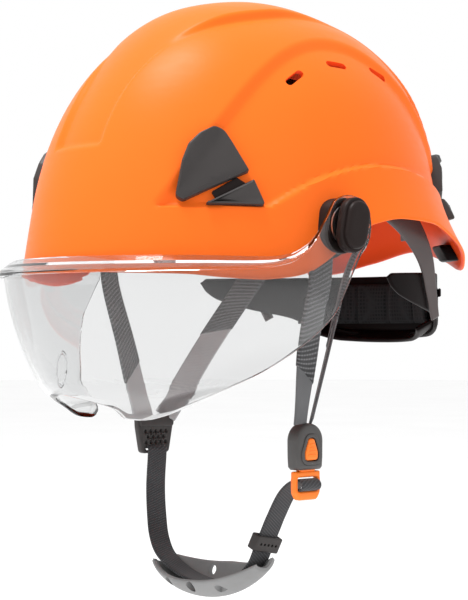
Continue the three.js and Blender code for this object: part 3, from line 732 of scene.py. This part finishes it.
CLIP_PLATE = [[-52.2, 16], [-51.4, 34], [-50.2, 43], [-47.5, 49], [-43.4, 53.3],
              [-40.8, 51.5], [-38.3, 44.4], [-33.7, 29.5], [-50.2, 13.2]]
CLIP_FOOT = [[-44.8, 11.3], [-32.4, 25], [-29.2, 10.8]]
CLIP_NECK = [[-43, 18.5], [-36.8, 26.5], [-34, 23], [-41, 13]]


def lamp_clip(name, side, degrees_of, skin):
    """Upper hook plate and lower foot, with the lamp-strap slot between them and a neck across it.

    degrees_of turns the outline's directions into those of this clip.
    """
    put, axes = skin.place(degrees_of(-42), 30, side)

    def layer(word, points, radii, height, bevel, material=BLACK):
        outline = rounded(on_plane([(degrees_of(d), z) for d, z in points], axes, side), radii)
        return slab(f"{name}_{word}", outline, height, bevel, put, material, spacing=2.5, base=-0.6)

    plate = layer("visual", CLIP_PLATE, [5, 9, 5, 7, 5, 7, 9, 0.8, 3], 6.6, 1.2)
    # the neck is part of the same moulding but is set back, and takes the darker knob black as painted shade
    attach(plate, layer("foot", CLIP_FOOT, [0.8, 0.8, 2], 6.0, 1.3),
           layer("neck", CLIP_NECK, 1, 2.4, 0.4, KNOB_BLACK_AND_NECK_SHADE))
    mount(plate, ROOT)


# ---- visor ----
LENS_LOW = [[-6, -2], [-5.7, -5.5], [-4.5, -10], [-2.5, -15], [0, -24], [8, -52], [13, -65], [19.5, -78],
            [26, -87], [32, -96], [38, -102], [45, -104.5], [54, -103.5], [64, -97], [74, -93.5], [82, -91.5],
            [90, -90]]
LENS_TOP = [[-6, 3], [-5.7, 7], [-4.5, 11.5], [-3, 14.5], [-1, 16.6], [2, 17.3], [6, 14.5], [9.5, 4],
            [13, -6], [16, -11.5], [20, -16], [26, -18.2], [32, -18.5], [90, -18.5]]
OVERHANG = [[10, 0], [16, 1.2], [30, 3.5], [55, 5], [90, 5.5]]


def lens_reach(z):
    """At a height: its share of the way down, the lens's reach forward, and the tuck of its lower edge."""
    drop = np.clip((-z - 25) / DEPTH, 0, 1)
    tuck = 7 * smooth(drop, 0.7, 0.88)
    return drop, mix(TOP_A, LOW_A, drop) - tuck, tuck


def lens_point(degrees, z, out):
    """A point on the lens: 0 is the left side and 90 the front; out is measured from its inner face."""
    drop, a, tuck = lens_reach(z)
    b = NOSE_B + (SIDE_B - NOSE_B) * (1 - drop ** 2.2) - tuck
    phi = np.radians(degrees)
    normal = unit(stack(np.cos(phi) / b, -np.sin(phi) / a, -0.004 * drop))
    x = np.clip(b * np.cos(phi), 4 - SIDE_B, SIDE_B - 4)
    return stack(x, -a * np.sin(phi), z) + normal * np.asarray(out)[..., None]


def visor():
    """Lens and flange are one swept profile: up the outer face, round the flange and down the inner face."""
    turn = np.concatenate([[-6, -5.8, -5.5], np.linspace(-5, 40, 90), np.linspace(41, 90, 50)])
    turn = np.concatenate([turn, 180 - turn[-2::-1]])
    seen = np.where(turn <= 90, turn, 180 - turn)
    low, top, over = through(LENS_LOW, seen), through(LENS_TOP, seen), through(OVERHANG, seen)
    none, t = 0 * low, LENS_WALL
    lip = np.clip(over, 0.5, 2)
    slope = lambda out: top + 0.55 * over - 1.35 * over * (out + 0.5 * over) / (1.5 * over + t)
    rungs = np.linspace(0, 1, 30)
    profile = [(low + up, none + out) for up, out in ((0.9, 0), (0.25, 0.3), (0, t / 2), (0.25, t - 0.3))]
    profile += [(mix(low + 0.9, slope(t) - lip, r), none + t) for r in rungs]
    profile += [(slope(over + t) - lip * (1 - depth), over + t - back)
                for depth, back in ((0, 0.5), (0.12, 0.12), (0.35, 0), (0.65, 0), (0.88, 0.12), (1, 0.5))]
    profile += [(slope(out), out) for out in (0.7 * over + t, 0.3 * over + t, none + t, none + t / 2, none,
                                              -0.3 * over, -0.5 * over)]
    profile += [(slope(-0.5 * over) - 0.6 * lip, -0.5 * over)]
    profile += [(mix(slope(none) - lip, low + 0.9, r), none) for r in rungs[:-1]]
    piece = tube("visor_visual", np.stack([lens_point(turn, z, out) for z, out in profile], axis=1), CLEAR)
    cut(piece, *[revolve("hole", bore(4.6, 8), (side * 116, PIVOT_Y, PIVOT_Z), (1, 0, 0), CLEAR)
                 for _, side in SIDES])
    attach(piece, dimple())
    mount(piece, VISOR)


def dimple():
    """An oval bead moulded on the inside of the lens, above the nose."""
    turn = np.linspace(0, FULL_TURN, 41)[None, :]
    across = np.linspace(-1, 1, 9)[:, None]
    ring = 1 + 0.13 * across
    along, wide = 9.5 * ring * np.sin(turn), 3.6 * ring * np.cos(turn)
    x = 5 + wide * 0.94 + along * 0.34
    z = -76 + along * 0.94 - wide * 0.34
    y = 0.1 - lens_reach(z)[1] * np.sqrt(1 - (x / 75) ** 2)
    return sheet("dimple", stack(x, y, z), 0.7 * np.sqrt(1.02 - across ** 2), CLEAR)


def pivot(word, side):
    """The oval base against the shell and the two-step oval knob over the visor's ear."""
    out = (side, 0, 0)
    lean = math.radians(12)
    right = np.array([0, math.sin(lean), math.cos(lean)])
    place = lambda x: flat_place((side * x, PIVOT_Y, PIVOT_Z), right, np.cross(out, right), out)
    base = slab(f"visor_base_{word}_visual", stadium(30.6, 21.5, steps=18), 12.2, 1.6, place(101), KNOB_BLACK_AND_NECK_SHADE,
                spacing=5)
    mount(base, ROOT)
    outline, step = stadium(30, 19.5, steps=18), 4.4
    knob = slab(f"visor_knob_{word}_visual", outline, step + 0.2, 0.9, place(KNOB_X), KNOB_BLACK_AND_NECK_SHADE, spacing=4,
                low_bevel=0.5)
    attach(knob, slab(f"visor_knob_{word}_face", inset(outline, 1.9), KNOB_THICK - step, 1.8, place(KNOB_X),
                      KNOB_BLACK_AND_NECK_SHADE, spacing=4, base=step))
    mount(knob, f"knob_{word}")


# ---- head harness ----
def loop_point(degrees, z, out):
    """A point on the harness outline: 0 is the left side, -90 the front and 90 the nape."""
    phi = np.radians(degrees)
    c, s = np.cos(phi), np.sin(phi)
    power = 2 / np.where(s < 0, FRONT_POWER, NAPE_POWER)
    x = np.sign(c) * np.abs(c) ** power * (LOOP_WIDTH + out)
    y = np.sign(s) * np.abs(s) ** power * (LOOP_LENGTH + out)
    return stack(x, LOOP_Y + y, z)


def loop_sheet(name, first, last, low, high, out, thick, columns=120, rows=14):
    """A sheet that follows the outline; low and high are its edges, as heights by direction."""
    degrees = np.linspace(first, last, columns)[None, :]
    seen = towards_back(np.radians(degrees))
    z = mix(through(low, seen), through(high, seen), even(rows, 30, thick)[:, None])
    return sheet(name, loop_point(degrees, z, out), thick, HARNESS)


BAND_LOW = [[-90, -16], [-8, -16], [4, -6]]
BAND_HIGH = [[-90, 14], [-8, 13], [4, 11]]
NAPE_LOW = [[11, -25], [13, -30], [17, -35], [28, -41], [45, -47], [55, -54], [70, -59], [90, -60]]
NAPE_HIGH = [[11, -24], [13, -22], [60, -20], [90, -20]]


def headband():
    band = loop_sheet("headband_visual", -184, 4, BAND_LOW, BAND_HIGH, 1.0, 2.0, columns=260)
    for i, (first, last) in enumerate(((-170, -146), (-34, -10))):
        attach(band, loop_sheet(f"headband_rib_{i}", first, last, raised(BAND_LOW, 3), raised(BAND_LOW, 4.6),
                                0.2, 1.4, columns=90, rows=4))
    mount(band, ROOT)


def pad(name, first, last, low, high, thick, seams, body):
    """A foam pad on the outline: crowned, its edges pulled in, with sewn channels across it."""
    degrees = np.linspace(first, last, 150)[None, :]
    channel = sum(np.exp(-((degrees - s) / 0.9) ** 2) for s in seams)
    t = even(26, high - low, 5)[:, None]
    swell = thick * (0.72 + 0.28 * np.sin(math.pi * t)) * (1 - 0.3 * channel)
    z = mix(low, high, t)
    grid = loop_point(degrees, z, 0)
    inward = loop_point(degrees, z, -1) - grid
    grid = grid + unit(inward) * (0.3 + swell / 2)[..., None]
    piece = sheet(name, grid, swell, FOAM, round_to=3.2)
    mount(piece, body)


def nape_cradle():
    """The band round the nape, a slotted lip under it and two upright ribs."""
    cradle = loop_sheet("nape_cradle_visual", 11, 169, NAPE_LOW, NAPE_HIGH, 1.3, 2.6, columns=300, rows=24)
    degrees = np.linspace(52, 128, 160)[None, :]
    bottom = through(NAPE_LOW, towards_back(np.radians(degrees)))
    depth = even(10, 10, 3)[:, None]
    shelf = loop_point(degrees, bottom + 1.5 + mix(-3.5, 3, depth), mix(-10, 0.6, depth))
    lip = sheet("nape_lip", shelf, 3.0, HARNESS)
    tools = []
    for where, turn in ((68, -16), (112, 16)):
        p = loop_point(where, -60, -4.6)
        a = math.radians(turn)
        place = flat_place(p, (math.cos(a), math.sin(a), 0), (-math.sin(a), math.cos(a), 0), (0, 0, 1))
        tools.append(slab("slot", stadium(26, 2.8), 14, 0.2, place, HARNESS, base=-7, spacing=20))
    cut(lip, *tools)
    attach(cradle, lip)
    low, high = ([[-90, z], [90, z]] for z in (-50, -26))
    for i, (first, last) in enumerate(((62, 67), (113, 118))):
        attach(cradle, loop_sheet(f"nape_rib_{i}", first, last, low, high, -0.6, 1.6, columns=12))
    mount(cradle, NAPE)


def rack(word, first, last, low):
    """A toothed tail of a rear arm; the teeth face the pinion."""
    columns = 320
    degrees = np.linspace(first, last, columns)[None, :]
    tooth = np.abs((np.arange(columns) / 8) % 1 - 0.5) * 1.6
    t = even(6, 5, 1.6)[:, None]
    bottom, top = (low, low + 5 - tooth) if word == "right" else (low + tooth, low + 5)
    z = mix(bottom, top, t)
    piece = sheet(f"rack_{word}_visual", loop_point(degrees, z, 3.9), 1.6, HARNESS)
    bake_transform(piece)
    stand_for(piece)


def back_place(origin_out):
    """Places (x, z, height) on the back of the harness outline, a distance outside it."""
    def put(s, t, h):
        run = np.linspace(40, 140, 1600)
        line = loop_point(run, 0, 0)[:, :2]
        tangent = unit(np.gradient(line, axis=0))
        order = np.argsort(line[:, 0])
        x = line[order, 0]
        at = lambda values: np.interp(s, x, values[order])
        y, nx, ny = at(line[:, 1]), at(-tangent[:, 1]), at(tangent[:, 0])
        flip = np.where(ny < 0, -1, 1)
        out = origin_out + h
        return stack(s + nx * flip * out, y + ny * flip * out, t)
    return put


def ratchet():
    """The cover over the pinion, and the fluted knob behind it."""
    outline = rectangle((-34, NAPE_Z - 15), (34, NAPE_Z + 15), 6)
    cover = slab("ratchet_cover_visual", outline, 7.4, 2.4, back_place(3.0), HARNESS, spacing=4)
    mount(cover, NAPE)
    y = BACK_Y + 10.8
    profile = [[0, 0], [0, 14.2], [0.8, 15.4], [2, 16.8], [3, 17], [8.4, 16.4], [9.8, 15.9], [10.9, 14.8],
               [11.5, 13.2], [11.5, 11.6], [10.7, 10.8], [10.7, 6], [11.2, 5.4], [11.2, 0]]
    grip = lambda along, r, turn: r - np.where(r > 12.5, 1.7, 0) * np.clip(np.cos(12 * turn), 0, 1) ** 1.5
    knob = revolve("ratchet_knob_visual", profile, (0, y, NAPE_Z), (0, 1, 0), BLACK, 192, grip)
    mount(knob, RATCHET)


# ---- anchors, crown straps and rear arms ----
def anchor(word, side, name, degrees, z, rise, skin):
    """A plug that holds the harness to the inside of the shell."""
    put, axes = skin.place(degrees, z, side)
    corners = [(degrees + x * 6.2, z + y * rise) for x, y in ((-1, -1), (1, -1), (1, 1), (-1, 1))]
    piece = slab(f"anchor_{name}_{word}_visual", rounded(on_plane(corners, axes, side), 3), 6.7, 0.3, put,
                 HARNESS, spacing=3, base=-10, low_bevel=1.5)
    mount(piece, ROOT)


CROWN_Y, CROWN_Z, CROWN_RISE = 42, 96, 2.6


def crown_strap(name, start_at, start_z, end_at, end_z, level):
    """A strap from one anchor over the head to another, crossing the middle at the given level."""
    def inside_shell(degrees, z):
        p, normal = dome(np.radians(degrees), z)
        return p - normal * (WALL + 19)

    start, end = inside_shell(start_at, start_z), inside_shell(end_at, end_z)
    points = []
    for t in np.linspace(0, 1, 13):
        p = mix(start, end, (1 - math.cos(math.pi * t)) / 2)
        p[2] = mix(mix(start_z, end_z, t), CROWN_Z + level, math.sin(math.pi * t) ** 0.8)
        points.append(p)
    side = unit(np.cross(end - start, [0, 0, 1]))
    mount(strap(name + "_visual", points, side, 18, 1.4, WEBBING, count=110), ROOT)


def crown_pad():
    """A round pad under the crossing of the straps, quilted in rings and eight spokes."""
    profile = [[-7.2, 0], [-7.8, 6], [-7.2, 9], [-8.2, 13], [-8.2, 18], [-7.3, 21], [-8, 24], [-7.6, 28],
               [-6.4, 30.2], [-4.6, 31], [-2.8, 30.4], [-1.2, 28], [-0.5, 24], [-0.2, 12], [0, 0]]
    spoke = lambda along, r, turn: r * (1 - 0.012 * np.clip(np.cos(8 * turn), 0, 1) ** 6)
    piece = revolve("crown_pad_visual", profile, (0, CROWN_Y, CROWN_Z - 9), (0, 0, 1), FOAM, 96, spoke)
    mount(piece, ROOT)


def rear_arm(word, side):
    """From the rear anchor down to the cradle."""
    route = [(side * 89, 58, 17), (side * 86.5, 72, 8.5), (side * 83.5, 85.5, -2.5), (side * 80.5, 96, -15),
             (side * 77, 103.5, -31), (side * 74, 110.5, -48)]
    arm = strap(f"rear_arm_{word}_visual", route, (0, 0.72, 0.7), lambda v: mix(21, 7, v), 1.6, ARM)
    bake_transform(arm)
    stand_for(arm)


# ---- chin harness ----
FRONT_ROUTE = {
    "left": [(88.5, 1, 8), (88.5, 2, -24), (81.5, 0.5, -58), (70.5, 3.5, -107.5)],
    "right": [(-84, -12, 8), (-86, -13, -22), (-78, -6, -64), (-70, 1.5, -109)],
}


def chin_strands(word, side):
    """Webbing in front of and behind the ear; each strand starts in a dark ribbed sleeve cut on the skew."""
    width = (lambda v: WEB - 5.5 * smooth(v, 0.6, 1)) if side > 0 else WEB
    sleeve_width = (lambda v: width(v) + 0.7) if side > 0 else WEB + 0.7
    end = (68.3, 13.8, -107) if side > 0 else (-67.5, 16.5, -108)
    turned = (-0.766 * side, 0.643, 0)
    rear = [(side * 37, 88, 4), (side * 42, 67, -22), (side * 55, 41, -64), end]
    start = (0, 1, 0.1) if side > 0 else (-0.35, 0.93, 0.1)
    cloth = WEBBING if side > 0 else PALE_WEB
    strands = ((f"chin_front_{word}", FRONT_ROUTE[word], start, (0, 1, 0.1), 0.76),
               (f"chin_rear_{word}", rear, turned, turned, 0.55))
    for name, route, facing, last, until in strands:
        piece = strap(name + "_visual", route, facing, width, WEB_THICK, cloth, end_side=last)
        attach(piece, strap(name + "_sleeve", route, facing, sleeve_width, WEB_THICK + 1.2, SLEEVE,
                            end_side=last, span=(0, until), slant=0.1 * side))
        mount(piece, ROOT)


def side_place(x):
    """Places (y, z, height) on a plane of constant X."""
    return flat_place((x, 0, 0), (0, 1, 0), (0, 0, 1), (1, 0, 0))


def divider():
    """Flat plate that joins both right strands; rows of small holes, a bar and a webbing slot."""
    shield = rounded([(-1.5, -131), (19.5, -131), (22.5, -115), (23, -107.5), (-5, -107.5), (-4.5, -115)],
                     [3, 3, 5, 2, 2, 5])
    dots = ((-117.4, (1, 5, 9, 13, 17)), (-120.8, (3, 7, 11, 15)), (-124.2, (1.5, 5.2, 9, 12.8, 16.5)))
    holes = [circle(0.95, 12, (y, z)) for z, ys in dots for y in ys]
    slot = stadium(15, 2.4) + [9, -128]
    plate = slab("strap_divider_right_visual", shield, 5, 1.2, side_place(-71.5), BLACK,
                 holes=holes + [slot], spacing=2.5, low_bevel=1.0)
    upper = rounded([(-3.5, -114.5), (21.5, -114.5), (22.5, -107.5), (-4.5, -107.5)], 1.5)
    attach(plate, slab("divider_bar", upper, 2.2, 0.9, side_place(-66.8), BLACK, spacing=3))
    mount(plate, ROOT)


BUTTON_SHAPE = rounded([(-4.7, -6.0), (4.7, -6.0), (4.9, -1.5), (2.0, 6.2), (-2.0, 6.2), (-4.9, -1.5)],
                       [2.6, 2.6, 3, 1.9, 1.9, 3]) + [9, -121.6]


def buckle():
    """The housing, and its button in a window with a raised rim."""
    arch = [(9 + 10 * math.cos(a), -117 + 10 * math.sin(a)) for a in np.linspace(0, math.pi, 30)]
    foot = [(-0.9, -126), (-0.5, -131.5), (1, -133), (17, -133), (18.5, -131.5), (18.9, -126)]
    shield = np.array(arch + foot)
    window = inset(BUTTON_SHAPE, -0.5)
    body = slab("buckle_housing_visual", shield, 10, 2.6, side_place(64), HOUSING,
                holes=[window], spacing=2.5, low_bevel=1.5)
    attach(body, slab("buckle_ring", inset(BUTTON_SHAPE, -2.6), 1.2, 0.5, side_place(73.4), HOUSING,
                      holes=[window], spacing=3))
    mount(body, ROOT)
    button = slab("buckle_button_visual", BUTTON_SHAPE, 3.4, 1.4, side_place(71.4), ACETAL, spacing=2)
    for i, z in enumerate((-124.6, -122.6, -120.6, -118.6)):
        attach(button, slab(f"button_rib_{i}", stadium(6.0 - i * 0.9, 0.8) + [9, z], 0.7, 0.3,
                            side_place(74.5), ACETAL, spacing=3))
    mount(button, "button")


def button_spring():
    """The coil under the button."""
    turns, wire = 3.5, 0.3
    along = np.linspace(0, 1, 120)
    angle = FULL_TURN * turns * along
    centre = stack(67.3 + 3.4 * along, 9 + 2.2 * np.cos(angle), -120.5 + 2.2 * np.sin(angle))
    tangent = unit(np.gradient(centre, axis=0))
    out = unit(np.cross(tangent, [1, 0, 0]))
    up = np.cross(out, tangent)
    turn = full_turn(8)[None, :, None]
    rings = centre[:, None] + wire * (np.cos(turn) * out[:, None] + np.sin(turn) * up[:, None])
    coil = tube("buckle_spring_visual", rings, STEEL)
    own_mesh(coil)
    mount(coil, ROOT)


def tongue():
    """The buckle's male part: a frame for the webbing and a prong into the housing."""
    outer = rounded([(2, -150), (16, -150), (18.5, -146), (18.5, -133.8), (-0.5, -133.8), (-0.5, -146)],
                    [3, 3, 4, 1.2, 1.2, 4])
    window = rectangle((1.4, -145), (16.6, -137.2), 1.4)
    loop = slab("buckle_tongue_visual", outer, 4.8, 1.3, side_place(66.6), ACETAL,
                holes=[window], spacing=2.5, low_bevel=1.3)
    attach(loop, slab("tongue_prong", rectangle((3, -134.2), (15, -128.2), 1.5), 4, 0.8, side_place(67),
                      ACETAL, spacing=3, low_bevel=0.8))
    mount(loop, CHIN)


KEEPER_FROM, KEEPER_TO = np.array([47.5, 6, -161]), np.array([38, 0.5, -187])


def chin_strap():
    """One length of webbing from the divider through the cup and keeper, folded round the tongue's bar."""
    route = [(-69.2, 8.8, -127.3), (-65.2, 8.8, -127.6), (-65.0, 8.6, -133), (-65, 7.5, -150),
             (-61, 5, -166), (-53, 1, -181), (-41, -2, -191.5),
             (-22, -2, -199.6), (0, -2, -202.4), (20, -2, -199.2), (31, -1, -194), KEEPER_TO,
             mix(KEEPER_TO, KEEPER_FROM, 0.35), mix(KEEPER_TO, KEEPER_FROM, 0.7), KEEPER_FROM,
             (53.5, 8, -149), (59.5, 9, -142.5), (66, 9, -139.4), (71.4, 9, -138.9), (74.2, 9, -141),
             (73, 9, -143.6), (69.5, 9, -144)]
    piece = strap("chin_strap_visual", route, (0, 1, 0), WEB - 0.6, WEB_THICK, DARK_WEB, count=220)
    mount(piece, CHIN)


def keeper():
    """A flat sleeve round the chin strap, with a row of dots on both faces."""
    length = 9.2
    along = unit(KEEPER_FROM - KEEPER_TO)
    across = unit(np.array([0, 1, 0]) - along * along[1])
    face = np.cross(along, across)
    centre = mix(KEEPER_TO, KEEPER_FROM, 0.42)
    place = flat_place(centre - along * length / 2, across, face, along)
    loop, window = rectangle((-10, -3.2), (10, 3.2), 1.4), rectangle((-8.3, -1.4), (8.3, 1.4), 0.5)
    piece = slab("slide_keeper_visual", loop, length, 0.8, place, BLACK, [window], 3, low_bevel=0.8)
    cut(piece, *[revolve("dot", bore(0.85, 1.4), centre + across * a + face * sign * 3.6, face, BLACK, 16)
                 for a in (-6, -3, 0, 3, 6) for sign in (1, -1)])
    mount(piece, "keeper")


CUP_LENGTH, CUP_WIDTH, CUP_Y, CUP_FLOOR, CUP_WALL = 47, 17.5, -2, -211, 3.2


def chin_cup():
    """A boat of soft rubber, open upwards, with a higher wall at the back and drain holes."""
    full = math.radians(84)
    x = np.linspace(-CUP_LENGTH, CUP_LENGTH, 110)[None, :]
    v = np.linspace(-1, 1, 60)[:, None]
    end = (x / CUP_LENGTH) ** 2
    half = CUP_WIDTH * (1 - 0.55 * end ** 1.3)
    turn = v * full
    wall = mix(11, 19, smooth(v, -0.3, 0.5)) * mix(1, 0.35, end ** 0.8)
    y = CUP_Y + (half - CUP_WALL / 2) * np.sin(turn)
    rise = wall * (1 - np.cos(turn)) / (1 - math.cos(full))
    z = CUP_FLOOR + 17 * end + 3 * (x / CUP_LENGTH) + CUP_WALL / 2 * np.cos(turn) ** 0.5 + rise
    piece = sheet("chin_cup_visual", stack(x, y, z), CUP_WALL, CUP_RUBBER)
    holes = [(x, -CUP_WIDTH, 7.4) for x in (-22, 0, 22)] + [(x, CUP_WIDTH, 13) for x in (-14, 14)]
    cut(piece, *[revolve("hole", bore(3.2, 9), (x, CUP_Y + y, CUP_FLOOR + up), (0, 1, 0), CUP_RUBBER, 32)
                 for x, y, up in holes])
    mount(piece, CHIN)


# ---- everything ----
camera()
studio()
shell()
skin = Skin()
visor()
headband()
pad("brow_pad_visual", -142, -38, -13, 11, 6.8, (-122, -106, -90, -74, -58), ROOT)
nape_cradle()
pad("nape_pad_visual", 62, 118, -50.5, -25, 4.8, (76, 90, 104), NAPE)
rack("left", 48, 83, NAPE_Z + 5.6)
rack("right", 97, 132, NAPE_Z - 10.6)
ratchet()
for word, side in SIDES:
    lamp_clip(f"lamp_clip_front_{word}", side, lambda d: d, skin)
    lamp_clip(f"lamp_clip_rear_{word}", side, lambda d: 19 - d, skin)
    pivot(word, side)
    for name, degrees, z, rise in (("front", -44, 12, 10), ("side", 12, 30, 10), ("rear", 58, -8, 5)):
        anchor(word, side, name, degrees, z, rise, skin)
    rear_arm(word, side)
    chin_strands(word, side)
crown_strap("crown_strap_front_left", -44, 14, 122, 0, 0)
crown_strap("crown_strap_front_right", -136, 14, 58, 0, CROWN_RISE)
crown_strap("crown_strap_middle", 12, 32, 168, 32, 2 * CROWN_RISE)
crown_pad()
divider()
buckle()
button_spring()
tongue()
chin_strap()
keeper()
chin_cup()
shown_as_cad = [f"visor_{part}_{word}" for part in ("washer", "screw") for word, _ in SIDES]
for node in shown_as_cad + ["click_spring", "ratchet_pinion"]:
    NODES[node].data.materials.clear()
    NODES[node].data.materials.append(BLACK if node == "ratchet_pinion" else STEEL)
